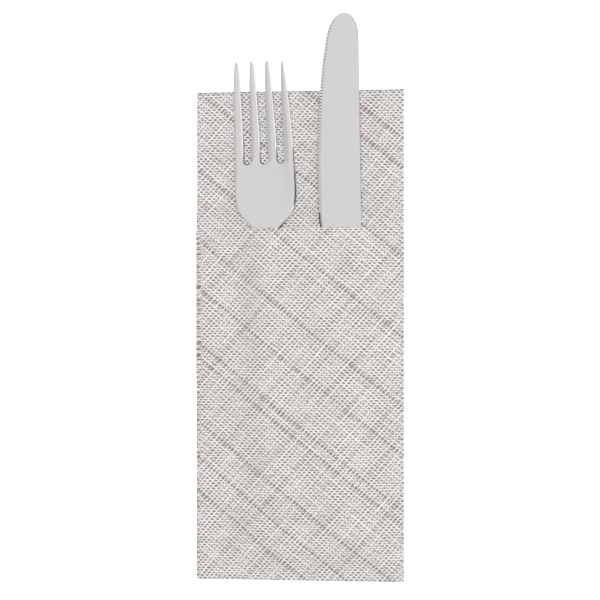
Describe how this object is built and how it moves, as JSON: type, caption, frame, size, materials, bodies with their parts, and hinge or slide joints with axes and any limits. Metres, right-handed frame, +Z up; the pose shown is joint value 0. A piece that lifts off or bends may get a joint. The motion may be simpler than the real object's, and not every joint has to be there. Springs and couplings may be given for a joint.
{
  "type": "cutlery pouch napkin",
  "caption": "Paper napkin with a linen-look print folded into a flat cutlery pouch, with a steel table fork and table knife in its front pocket.",
  "frame": {"origin": "on the table, under the middle of the box from the pouch's bottom fold to the knife's tip", "axes": "+Y from the pouch's bottom fold to its open top and the tines and knife tip, +X to the right seen from above with the fork on the left, +Z up out of the pouch's front"},
  "size_m": [0.085, 0.2302, 0.0103],
  "materials": {
    "printed_paper": "matt soft airlaid paper, white threads on warm grey as a linen-look print",
    "polished_steel": "smooth satin to polished stainless steel"
  },
  "bodies": {
    "root": {"napkin": "printed_paper", "fork": "polished_steel", "table_knife": "polished_steel"}
  },
  "joints": []
}
